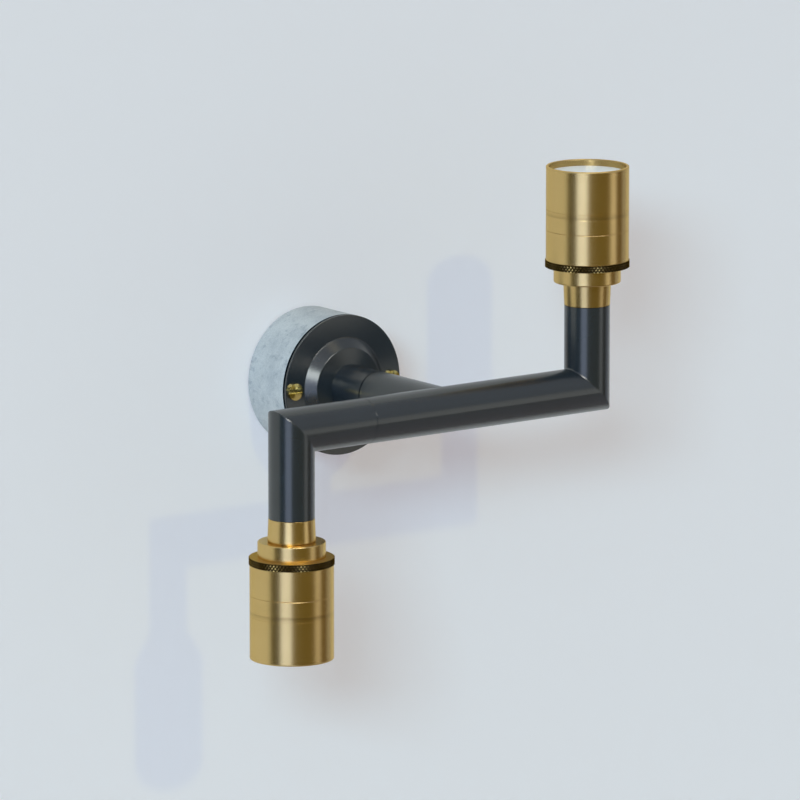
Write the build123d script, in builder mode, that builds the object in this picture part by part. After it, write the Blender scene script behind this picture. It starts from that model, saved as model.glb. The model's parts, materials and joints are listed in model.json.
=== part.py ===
from build123d import *
from math import hypot, sqrt
import os

# Industrial wall light: a cross arm on a stem, with a brass head up at one end and down at the other.
# Millimetres. X runs along the wall, Y into it and Z up, from the middle of the base on the wall.

os.makedirs("parts", exist_ok=True)

# Clearances
FIT = 0.05             # radial, in a thread or a pressed joint
RUN = 0.05             # radial, in a bearing that turns
RUN_END = 0.05         # axial, at each end of a ring or a shoulder that turns
WELD_GAP = 0.05        # between the stem's cope and the arm
EAR_ROOM = 0.3         # round the bracket's ears in the block
SCREW_ROOM = 0.3       # radial, round a front screw in the plate
BORE_ROOM = 0.4        # radial, round a front screw in the block
NUT_ROOM = 1.15        # from the neck nut's corners to its recess
TAG_ROOM = 1.0         # from the earth tag's end to the same recess
POCKET_ROOM = 1.5      # from the terminal block's corners to the pocket
BRACKET_ROOM = 1.4     # radial, from the bracket to the pocket
POCKET_END = 2.0       # past a spindle's tail, in the neck
STOP_ROOM = 0.4        # under a stop pin, in its slot
CABLE_ROOM = 0.5       # radial, in a spindle

# Tubes
TUBE_OD = 22.0
TUBE_WALL = 1.5
HEAD_X = 88.0          # from the stem's axis to each head's axis
ARM_REACH = 110.0      # from the wall to the arm's axis
ARM_SEAM = 45.5        # from the stem's axis to the second swivel's seam
NECK_GAP = 0.3         # open seam of the first swivel
ARM_GAP = 0.06         # close seam of the second
ARM_BEVEL = 0.12
MITRE_BEVEL = 0.3
STEM_WIRE_HOLE = 12.0

# Concrete base
BASE_OD = 68.5
BASE_DEPTH = 29.0
BASE_EDGE = 0.6
POCKET_DEPTH = 21.0

# Wall bracket
BRACKET_T = 3.0
EAR_END = 3.5          # from a screw's axis to the ear's end
EAR_WIDTH = 14.0
SUPPLY_HOLE = 9.0
WALL_SLOT_SPACING = 27.0
WALL_SLOT_WIDTH = 4.5
WALL_SLOT_LENGTH = 10.0

# Terminal block
BLOCK_HEIGHT = 10.0
BLOCK_DEPTH = 13.0
BLOCK_RISE = 13.0      # from the stem's axis up to the block's middle
POLE_COUNT = 3
POLE_OD = 4.0
POLE_BORE = 2.6
POLE_PROUD = 0.4
POLE_WALL = 0.25       # between a pole and the block's screw
BLOCK_SCREW_OD = 2.5
BLOCK_SCREW_HEAD_OD = 4.0
BLOCK_SCREW_HEAD = 1.6

# Wall plate and its screws
PLATE_T = 2.4
PLATE_LIP = 0.3
BOSS_RISE = 4.5
BOSS_SLOPE = 4.55      # how far the boss's side leans in
BOSS_LAND = 1.65       # flat left between the boss and a screw's head
BOSS_CROWN = 1.1       # how far its face rises to the neck
BOSS_ROUND = 0.6
SCREW_INSET = 5.25     # from the plate's edge to a screw's axis
SCREW_OD = 4.0
SCREW_HEAD_OD = 8.2
SCREW_HEAD_EDGE = 1.4
SCREW_HEAD_CROWN = 0.8
SCREW_SLOT = 1.1
SCREW_SLOT_DEPTH = 1.2
SCREW_TIP_BACK = 0.5   # from the screw's tip to the wall

# Neck and its fixing
NECK_FLOOR = 2.0       # solid foot of the neck, under the swivel's pocket
SPIGOT_OD = 16.0
SPIGOT_BORE = 11.0
SPIGOT_TIP = 1.5       # past the nut
NUT_FLATS = 24.0
NUT_T = 5.0
TAG_OD = 23.0
TAG_T = 0.8
TAG_WIDTH = 6.0

# Swivels, the same at both seams
BUSH_LENGTH = 12.0
BUSH_WALL = 3.45
TAIL_STEP = 0.95       # from the journal down to the threaded tail
PLUG_LENGTH = 12.0
WASHER_INSET = 1.0     # from the tube's bore to the friction washer
WASHER_T = 1.0
SWIVEL_NUT_WALL = 2.0  # from the thread to the nut's flats
SWIVEL_NUT_T = 4.0
TAIL_TIP = 0.9         # past the retaining nut
STOP_PIN_OD = 1.6
STOP_PIN_SUNK = 4.0
STOP_PIN_PROUD = 2.0
NECK_TURN = 165.0      # each way
ARM_TURN_BACK = 60.0   # the lower head, from straight down towards the wall
ARM_TURN_OUT = 240.0   # the other way, out past straight up

# Wiring
CABLE_OD = 5.0
CABLE_LEAD = 1.0       # straight below the terminal block
ELBOW_BEND = 20.0
SPLICE_LENGTH = 20.0
SPLICE_SIDE = 11.0
SPLICE_EDGE = 1.5

# Heads
TUBE_END = 41.5        # from the arm's axis to the end of the riser or drop
COLLAR_HEIGHT = 11.2
COLLAR_PROUD = 0.05    # past the tube, at the collar's start
COLLAR_FLARE = 0.45    # how far the collar widens from there
COLLAR_EDGE = 0.3      # bevel at the tube
COLLAR_ROUND = 0.2     # at its wide end
COLLAR_GAP = 0.35      # fine shadow line left between the collar and the cap
COLLAR_GAP_DEPTH = 0.8
COLLAR_SPIGOT = 12.0
COLLAR_BORE = 10.0
NOSE_OD = 16.0
NOSE_LENGTH = 5.0
CAP_OD = 32.4
CAP_HEIGHT = 7.4
CAP_EDGE = 0.6
CAP_SHOULDER = 1.2     # from the cap down to the ring's journal
THREAD_STEP = 2.0      # from that journal down to the cup's thread
RING_HEIGHT = 3.7
RING_PROUD = 0.4       # past the head
RING_EDGE = 0.3
HEAD_OD = 40.0
CUP_HEIGHT = 14.5
CUP_FLOOR = 3.5
CUP_WALL = 1.6
JOINT_ROUND = 0.22
SLEEVE_HEIGHT = 30.9
SLEEVE_SPIGOT = 7.0
SPIGOT_WALL = 1.05
RIM_WALL = 1.4
RIM_EDGE = 0.45
GROOVE_RISE = 7.3      # from the sleeve's foot
GROOVE_BEVEL = 0.6     # steep side, nearer the foot
GROOVE_TAPER = 1.9     # shallow side, nearer the rim
GROOVE_DEPTH = 0.14
GROOVE_LIP = 0.03      # how far the shallow side stays sunk at its end
NOTCH = 0.15           # depth and half width of the fine line cut there
DIFFUSER_SUNK = 3.2    # below the rim
DIFFUSER_T = 2.0
SINK_HEIGHT = 20.7
SINK_BORE = 8.0
SINK_GROOVES = 3
SINK_GROOVE = 2.0
SINK_GROOVE_DEPTH = 3.0
BOARD_INSET = 1.8      # from the sleeve's bore to the board
BOARD_T = 1.6
BOARD_SCREW_OD = 2.5
BOARD_SCREW_HEAD_OD = 4.5
BOARD_SCREW_HEAD = 1.4
BOARD_SCREW_LENGTH = 6.0
CHIP_OD = 10.0
CHIP_T = 1.0
CHIP_EDGE = 0.4
CHIP_LAND = 2.5        # from the chip to the reflector's mouth
MOUTH_LAND = 2.25      # from that mouth to a board screw's head
REFLECTOR_WALL = 1.0

# Diameters and spacings that follow
TUBE_BORE = TUBE_OD - 2 * TUBE_WALL
SCREW_SPACING = BASE_OD - 2 * SCREW_INSET
SCREW_PLATE_HOLE = SCREW_OD + 2 * SCREW_ROOM
SCREW_BORE = SCREW_OD + 2 * BORE_ROOM
EAR_SPAN = SCREW_SPACING + 2 * EAR_END
BOSS_FOOT_OD = SCREW_SPACING - SCREW_HEAD_OD - 2 * BOSS_LAND
BOSS_FACE_OD = BOSS_FOOT_OD - 2 * BOSS_SLOPE
NUT_RECESS_OD = NUT_FLATS * 2 / sqrt(3) + 2 * NUT_ROOM
TAG_REACH = NUT_RECESS_OD / 2 - TAG_ROOM
POLE_PITCH = POLE_OD + BLOCK_SCREW_OD + 2 * POLE_WALL
BLOCK_WIDTH = POLE_COUNT * POLE_PITCH
POCKET_OD = 2 * (hypot(BLOCK_WIDTH / 2, BLOCK_RISE + BLOCK_HEIGHT / 2) + POCKET_ROOM)
BRACKET_OD = POCKET_OD - 2 * BRACKET_ROOM
BUSH_BORE = TUBE_BORE - 2 * FIT - 2 * BUSH_WALL
JOURNAL_OD = BUSH_BORE - 2 * RUN
STOP_RADIUS = (BUSH_BORE + BUSH_WALL) / 2
TAIL_OD = JOURNAL_OD - 2 * TAIL_STEP
SPINDLE_BORE = CABLE_OD + 2 * CABLE_ROOM
WASHER_OD = TUBE_BORE - 2 * WASHER_INSET
SWIVEL_NUT_FLATS = TAIL_OD + 2 * SWIVEL_NUT_WALL
COLLAR_OD = TUBE_OD + 2 * COLLAR_PROUD
COLLAR_FLARE_OD = COLLAR_OD + 2 * COLLAR_FLARE
RING_JOURNAL_OD = CAP_OD - 2 * CAP_SHOULDER
CAP_THREAD_OD = RING_JOURNAL_OD - 2 * THREAD_STEP
RING_OD = HEAD_OD + 2 * RING_PROUD
CUP_BORE = HEAD_OD - 2 * CUP_WALL
SLEEVE_BORE = CUP_BORE - 2 * FIT - 2 * SPIGOT_WALL
RIM_BORE = HEAD_OD - 2 * RIM_WALL
BOARD_OD = SLEEVE_BORE - 2 * BOARD_INSET
REFLECTOR_MOUTH_OD = CHIP_OD + 2 * CHIP_LAND
BOARD_SCREW_SPACING = REFLECTOR_MOUTH_OD + BOARD_SCREW_HEAD_OD + 2 * MOUTH_LAND

# Depths out from the wall
PLATE_FACE = BASE_DEPTH + PLATE_T
BOSS_FACE = PLATE_FACE + BOSS_RISE
NECK_FOOT = BOSS_FACE + BOSS_CROWN
TAG_BACK = BASE_DEPTH - TAG_T
NUT_BACK = TAG_BACK - NUT_T

# Depths back from a swivel's seam
BUSH_BACK = RUN_END + BUSH_LENGTH
WASHER_BACK = BUSH_BACK + 2 * RUN_END + WASHER_T
SWIVEL_NUT_BACK = WASHER_BACK + SWIVEL_NUT_T
TAIL_BACK = SWIVEL_NUT_BACK + TAIL_TIP
SWIVEL_POCKET = TAIL_BACK + POCKET_END
STOP_SLOT_DEPTH = STOP_PIN_PROUD + STOP_ROOM
NECK_SEAM = NECK_FOOT + NECK_FLOOR + SWIVEL_POCKET + NECK_GAP / 2

# Levels along a head's axis, from the arm's axis
CAP_LEVEL = TUBE_END + COLLAR_HEIGHT
RING_LEVEL = CAP_LEVEL + CAP_HEIGHT
CUP_LEVEL = RING_LEVEL + RING_HEIGHT
SLEEVE_LEVEL = CUP_LEVEL + CUP_HEIGHT
GROOVE_LEVEL = SLEEVE_LEVEL + GROOVE_RISE
GROOVE_FLOOR = GROOVE_LEVEL + GROOVE_BEVEL
NOTCH_LEVEL = GROOVE_FLOOR + GROOVE_TAPER
RIM_LEVEL = SLEEVE_LEVEL + SLEEVE_HEIGHT
DIFFUSER_LEVEL = RIM_LEVEL - DIFFUSER_SUNK
DIFFUSER_SEAT = DIFFUSER_LEVEL - DIFFUSER_T
SINK_TOP = CUP_LEVEL + CUP_FLOOR + SINK_HEIGHT
BOARD_TOP = SINK_TOP + BOARD_T

# Planes and axes
WALL = Plane.XZ                                    # u along X, v along Z, normal out from the wall
STEM_SECTION = Plane((0, 0, 0), x_dir=(1, 0, 0), z_dir=(0, 0, -1))
STEM_AXIS = Axis((0, 0, 0), (0, -1, 0))
NECK_FRAME = WALL.offset(NECK_SEAM)
ARM_FRAME = Plane((-ARM_SEAM, -ARM_REACH, 0), x_dir=(0, -1, 0), z_dir=(-1, 0, 0))
ARM_MIDDLE = Plane((0, -ARM_REACH, 0), x_dir=(0, -1, 0), z_dir=(-1, 0, 0))


def head_section(side):
    """Plane through a head's axis: u is the radius and v the level."""
    return Plane((side * HEAD_X, -ARM_REACH, 0), x_dir=(side, 0, 0), z_dir=(0, -1, 0))


def head_level(side, level):
    """Plane across a head's axis, its normal towards the rim."""
    return Plane((side * HEAD_X, -ARM_REACH, side * level), x_dir=(side, 0, 0), z_dir=(0, 0, side))


def head_axis(side):
    return Axis((side * HEAD_X, -ARM_REACH, 0), (0, 0, side))


def mitre(side):
    """Plane of an elbow's joint, its normal on the upright tube's side."""
    return Plane((side * HEAD_X, -ARM_REACH, 0), x_dir=(0, 1, 0), z_dir=(side, 0, side))


def swivel_section(frame):
    """Plane through a swivel's axis: u is the radius and v the way along it, from the seam."""
    return Plane(frame.origin, x_dir=frame.x_dir, z_dir=-frame.y_dir)


def ring_section(inner, outer, low, high):
    """Adds the section of a plain ring, given by two diameters and two levels, to the sketch."""
    with Locations((inner / 2, low)):
        Rectangle((outer - inner) / 2, high - low, align=(Align.MIN, Align.MIN))


def tube_section():
    Circle(TUBE_OD / 2)
    Circle(TUBE_BORE / 2, mode=Mode.SUBTRACT)


def bevel_seam(piece):
    """Takes the sharp edge off a tube's end at the arm's seam."""
    end = piece.faces().filter_by(GeomType.PLANE).sort_by_distance(ARM_FRAME.origin)[0]
    chamfer(end.outer_wire().edges(), length=ARM_BEVEL)


def keep(piece, name):
    piece.part.label = name
    export_step(piece.part, f"parts/{name}.step")


# Concrete block, hollow behind, with bores for the two front screws
with BuildPart() as concrete_base:
    with BuildSketch(WALL):
        Circle(BASE_OD / 2)
    extrude(amount=BASE_DEPTH)
    fillet(concrete_base.edges(), radius=BASE_EDGE)
    with BuildSketch(WALL):
        Circle(POCKET_OD / 2)
    extrude(amount=POCKET_DEPTH, mode=Mode.SUBTRACT)
    with BuildSketch(WALL.offset(POCKET_DEPTH)):
        Circle(NUT_RECESS_OD / 2)
    extrude(amount=BASE_DEPTH - POCKET_DEPTH, mode=Mode.SUBTRACT)
    with BuildSketch(WALL):
        SlotOverall(EAR_SPAN + 2 * EAR_ROOM, EAR_WIDTH + 2 * EAR_ROOM)
    extrude(amount=BRACKET_T + EAR_ROOM, mode=Mode.SUBTRACT)
    with BuildSketch(WALL):
        with GridLocations(SCREW_SPACING, 0, 2, 1):
            Circle(SCREW_BORE / 2)
    extrude(amount=BASE_DEPTH, mode=Mode.SUBTRACT)
keep(concrete_base, "concrete_base")

# Steel bracket on the wall: slots for the wall screws, a hole for the supply, tapped ears
with BuildPart() as wall_bracket:
    with BuildSketch(WALL):
        Circle(BRACKET_OD / 2)
        SlotOverall(EAR_SPAN, EAR_WIDTH)
        Circle(SUPPLY_HOLE / 2, mode=Mode.SUBTRACT)
        with GridLocations(WALL_SLOT_SPACING, 0, 2, 1):
            SlotOverall(WALL_SLOT_LENGTH, WALL_SLOT_WIDTH, mode=Mode.SUBTRACT)
        with GridLocations(SCREW_SPACING, 0, 2, 1):
            Circle(SCREW_OD / 2 + FIT, mode=Mode.SUBTRACT)
        with Locations((POLE_PITCH / 2, BLOCK_RISE)):
            Circle(BLOCK_SCREW_OD / 2 + FIT, mode=Mode.SUBTRACT)
    extrude(amount=BRACKET_T)
keep(wall_bracket, "wall_bracket")

# Terminal block on the bracket, with a brass tube for each pole
BLOCK_FRAME = WALL.offset(BRACKET_T)
POLE_FRAME = Plane((0, -BRACKET_T - BLOCK_DEPTH / 2, BLOCK_RISE), x_dir=(1, 0, 0), z_dir=(0, 0, 1))

with BuildPart() as terminal_block:
    with BuildSketch(BLOCK_FRAME):
        with Locations((0, BLOCK_RISE)):
            Rectangle(BLOCK_WIDTH, BLOCK_HEIGHT)
        with Locations((POLE_PITCH / 2, BLOCK_RISE)):
            Circle(BLOCK_SCREW_OD / 2 + FIT, mode=Mode.SUBTRACT)
    extrude(amount=BLOCK_DEPTH)
    with BuildSketch(POLE_FRAME.offset(-BLOCK_HEIGHT / 2)):
        with GridLocations(POLE_PITCH, 0, POLE_COUNT, 1):
            Circle(POLE_OD / 2 + FIT)
    extrude(amount=BLOCK_HEIGHT, mode=Mode.SUBTRACT)
keep(terminal_block, "terminal_block")

with BuildPart() as terminal_inserts:
    with BuildSketch(POLE_FRAME.offset(-BLOCK_HEIGHT / 2 + POLE_PROUD)):
        with GridLocations(POLE_PITCH, 0, POLE_COUNT, 1):
            Circle(POLE_OD / 2)
            Circle(POLE_BORE / 2, mode=Mode.SUBTRACT)
    extrude(amount=BLOCK_HEIGHT - 2 * POLE_PROUD)
keep(terminal_inserts, "terminal_inserts")

with BuildPart() as terminal_screw:
    with BuildSketch(WALL.offset(SCREW_TIP_BACK)):
        with Locations((POLE_PITCH / 2, BLOCK_RISE)):
            Circle(BLOCK_SCREW_OD / 2)
    extrude(amount=BRACKET_T + BLOCK_DEPTH - SCREW_TIP_BACK)
    with BuildSketch(BLOCK_FRAME.offset(BLOCK_DEPTH)):
        with Locations((POLE_PITCH / 2, BLOCK_RISE)):
            Circle(BLOCK_SCREW_HEAD_OD / 2)
    extrude(amount=BLOCK_SCREW_HEAD)
keep(terminal_screw, "terminal_screw")

# Black plate over the block, with a conical boss
with BuildPart() as wall_plate:
    with BuildSketch(STEM_SECTION):
        with BuildLine():
            Polyline(
                (SPIGOT_OD / 2 + FIT, BASE_DEPTH),
                (BASE_OD / 2, BASE_DEPTH),
                (BASE_OD / 2, PLATE_FACE),
                (BOSS_FOOT_OD / 2, PLATE_FACE),
                (BOSS_FACE_OD / 2, BOSS_FACE),
                (TUBE_OD / 2, NECK_FOOT),
                (SPIGOT_OD / 2 + FIT, NECK_FOOT),
                close=True,
            )
        make_face()
    revolve(axis=STEM_AXIS)
    rims = wall_plate.edges().filter_by(GeomType.CIRCLE).group_by(SortBy.RADIUS)
    fillet(rims[-1].sort_by(Axis.Y)[0], radius=PLATE_LIP)
    boss_edges = wall_plate.edges().filter_by(GeomType.CIRCLE).filter_by(
        lambda edge: BOSS_FACE_OD / 2 - FIT < edge.radius < BOSS_FOOT_OD / 2 + FIT
    )
    fillet(boss_edges, radius=BOSS_ROUND)
    with BuildSketch(WALL.offset(BASE_DEPTH)):
        with GridLocations(SCREW_SPACING, 0, 2, 1):
            Circle(SCREW_PLATE_HOLE / 2)
    extrude(amount=PLATE_T, mode=Mode.SUBTRACT)
keep(wall_plate, "wall_plate")

# Slotted brass screws with crowned heads, through plate and block into the bracket's ears
SCREW_CROWN = PLATE_FACE + SCREW_HEAD_EDGE + SCREW_HEAD_CROWN

with BuildPart() as plate_screws:
    for screw_x in (-SCREW_SPACING / 2, SCREW_SPACING / 2):
        screw_section = Plane((screw_x, 0, 0), x_dir=(1, 0, 0), z_dir=(0, 0, -1))
        with BuildSketch(screw_section):
            with BuildLine():
                Polyline(
                    (0, SCREW_CROWN),
                    (0, SCREW_TIP_BACK),
                    (SCREW_OD / 2, SCREW_TIP_BACK),
                    (SCREW_OD / 2, PLATE_FACE),
                    (SCREW_HEAD_OD / 2, PLATE_FACE),
                    (SCREW_HEAD_OD / 2, PLATE_FACE + SCREW_HEAD_EDGE),
                )
                TangentArc(
                    (0, SCREW_CROWN),
                    (SCREW_HEAD_OD / 2, PLATE_FACE + SCREW_HEAD_EDGE),
                    tangent=(1, 0),
                )
            make_face()
        revolve(axis=Axis((screw_x, 0, 0), (0, -1, 0)))
    with BuildSketch(WALL.offset(SCREW_CROWN)):
        with GridLocations(SCREW_SPACING, 0, 2, 1):
            Rectangle(2 * SCREW_HEAD_OD, SCREW_SLOT)
    extrude(amount=-SCREW_SLOT_DEPTH, mode=Mode.SUBTRACT)
keep(plate_screws, "plate_screws")

# Neck: bored for the swivel at its seam, and stepped down to a threaded spigot through the plate
with BuildPart() as neck_tube:
    with BuildSketch(STEM_SECTION):
        neck_end = NECK_SEAM - NECK_GAP / 2
        ring_section(SPIGOT_BORE, SPIGOT_OD, NUT_BACK - SPIGOT_TIP, NECK_FOOT)
        ring_section(SPIGOT_BORE, TUBE_OD, NECK_FOOT, neck_end)
        with Locations((0, neck_end)):
            Rectangle(TUBE_BORE / 2, SWIVEL_POCKET, align=(Align.MIN, Align.MAX), mode=Mode.SUBTRACT)
    revolve(axis=STEM_AXIS)
keep(neck_tube, "neck_tube")

with BuildPart() as neck_nut:
    with BuildSketch(WALL.offset(NUT_BACK)):
        RegularPolygon(NUT_FLATS / 2, 6, major_radius=False)
        Circle(SPIGOT_OD / 2 + FIT, mode=Mode.SUBTRACT)
    extrude(amount=NUT_T)
keep(neck_nut, "neck_nut")

with BuildPart() as earth_tag:
    with BuildSketch(WALL.offset(TAG_BACK)):
        Circle(TAG_OD / 2)
        Rectangle(TAG_WIDTH, TAG_REACH, align=(Align.CENTER, Align.MAX))
        Circle(SPIGOT_OD / 2 + FIT, mode=Mode.SUBTRACT)
    extrude(amount=TAG_T)
keep(earth_tag, "earth_tag")

# Stem, coped onto the back of the arm
with BuildPart() as stem_tube:
    with BuildSketch(WALL.offset(NECK_SEAM + NECK_GAP / 2)):
        tube_section()
    extrude(amount=ARM_REACH - NECK_SEAM - NECK_GAP / 2)
    with BuildSketch(ARM_MIDDLE):
        Circle(TUBE_OD / 2 + WELD_GAP)
    extrude(amount=TUBE_OD, both=True, mode=Mode.SUBTRACT)
keep(stem_tube, "stem_tube")

# Arm: from the second seam to the right elbow, and from the seam to the left elbow
with BuildPart() as cross_arm_tube:
    with BuildSketch(ARM_FRAME.offset(-ARM_GAP / 2)):
        tube_section()
    extrude(amount=-(ARM_SEAM - ARM_GAP / 2 + HEAD_X + TUBE_OD / 2))
    bevel_seam(cross_arm_tube)
    split(bisect_by=mitre(1), keep=Keep.BOTTOM)
    mitre_face = cross_arm_tube.faces().filter_by(GeomType.PLANE).sort_by(Axis.X)[-1]
    chamfer(mitre_face.outer_wire().edges(), length=MITRE_BEVEL)
    with BuildSketch(WALL.offset(ARM_REACH)):
        Circle(STEM_WIRE_HOLE / 2)
    extrude(amount=-TUBE_OD, mode=Mode.SUBTRACT)
keep(cross_arm_tube, "cross_arm_tube")

with BuildPart() as left_arm_tube:
    with BuildSketch(ARM_FRAME.offset(ARM_GAP / 2)):
        tube_section()
    extrude(amount=HEAD_X + TUBE_OD / 2 - ARM_SEAM - ARM_GAP / 2)
    bevel_seam(left_arm_tube)
    split(bisect_by=mitre(-1), keep=Keep.BOTTOM)
    mitre_face = left_arm_tube.faces().filter_by(GeomType.PLANE).sort_by(Axis.X)[0]
    chamfer(mitre_face.outer_wire().edges(), length=MITRE_BEVEL)
keep(left_arm_tube, "left_arm_tube")

# Upright tubes at the elbows
for side, upright_name in ((1, "riser_tube"), (-1, "drop_tube")):
    with BuildPart() as upright:
        with BuildSketch(head_level(side, TUBE_END)):
            tube_section()
        extrude(amount=-(TUBE_END + TUBE_OD / 2))
        split(bisect_by=mitre(side), keep=Keep.TOP)
        mitre_face = upright.faces().filter_by(GeomType.PLANE).sort_by(head_axis(side))[0]
        chamfer(mitre_face.outer_wire().edges(), length=MITRE_BEVEL)
    keep(upright, upright_name)

# Swivels: a hollow spindle fixed in the moving tube turns in a bush in the still one. A nut behind a
# friction washer holds it, and a pin in the spindle's shoulder runs in a slot in the bush to its ends.
SWIVELS = (
    ("neck", NECK_FRAME, 90, -NECK_TURN, NECK_TURN),
    ("arm", ARM_FRAME, -90, -ARM_TURN_BACK, ARM_TURN_OUT),
)
for swivel_name, frame, pin_angle, turn_low, turn_high in SWIVELS:
    swivel_axis = Axis(frame.origin, frame.z_dir)

    with BuildPart() as bush:
        with BuildSketch(frame.offset(-BUSH_BACK)):
            Circle(TUBE_BORE / 2 - FIT)
            Circle(BUSH_BORE / 2, mode=Mode.SUBTRACT)
        extrude(amount=BUSH_LENGTH)
        slot_path = CenterArc(
            (0, 0), STOP_RADIUS, pin_angle + turn_low, turn_high - turn_low, mode=Mode.PRIVATE
        )
        with BuildSketch(frame.offset(-RUN_END)):
            SlotArc(slot_path, STOP_PIN_OD + 2 * RUN)
        extrude(amount=-STOP_SLOT_DEPTH, mode=Mode.SUBTRACT)
    keep(bush, f"{swivel_name}_bush")

    with BuildPart() as spindle:
        with BuildSketch(swivel_section(frame)):
            ring_section(SPINDLE_BORE, TUBE_BORE - 2 * FIT, RUN_END, PLUG_LENGTH)
            ring_section(SPINDLE_BORE, JOURNAL_OD, -BUSH_BACK - RUN_END, RUN_END)
            ring_section(SPINDLE_BORE, TAIL_OD, -TAIL_BACK, -BUSH_BACK - RUN_END)
        revolve(axis=swivel_axis)
        with BuildSketch(frame.offset(RUN_END)):
            with PolarLocations(STOP_RADIUS, 1, start_angle=pin_angle):
                Circle(STOP_PIN_OD / 2 + FIT)
        extrude(amount=STOP_PIN_SUNK, mode=Mode.SUBTRACT)
    keep(spindle, f"{swivel_name}_spindle")

    with BuildPart() as washer:
        with BuildSketch(frame.offset(-WASHER_BACK)):
            Circle(WASHER_OD / 2)
            Circle(TAIL_OD / 2 + FIT, mode=Mode.SUBTRACT)
        extrude(amount=WASHER_T)
    keep(washer, f"{swivel_name}_friction_washer")

    with BuildPart() as swivel_nut:
        with BuildSketch(frame.offset(-SWIVEL_NUT_BACK)):
            RegularPolygon(SWIVEL_NUT_FLATS / 2, 6, major_radius=False)
            Circle(TAIL_OD / 2 + FIT, mode=Mode.SUBTRACT)
        extrude(amount=SWIVEL_NUT_T)
    keep(swivel_nut, f"{swivel_name}_retaining_nut")

    with BuildPart() as stop_pin:
        with BuildSketch(frame.offset(-STOP_PIN_PROUD)):
            with PolarLocations(STOP_RADIUS, 1, start_angle=pin_angle):
                Circle(STOP_PIN_OD / 2)
        extrude(amount=STOP_PIN_PROUD + STOP_PIN_SUNK)
    keep(stop_pin, f"{swivel_name}_stop_pin")

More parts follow.
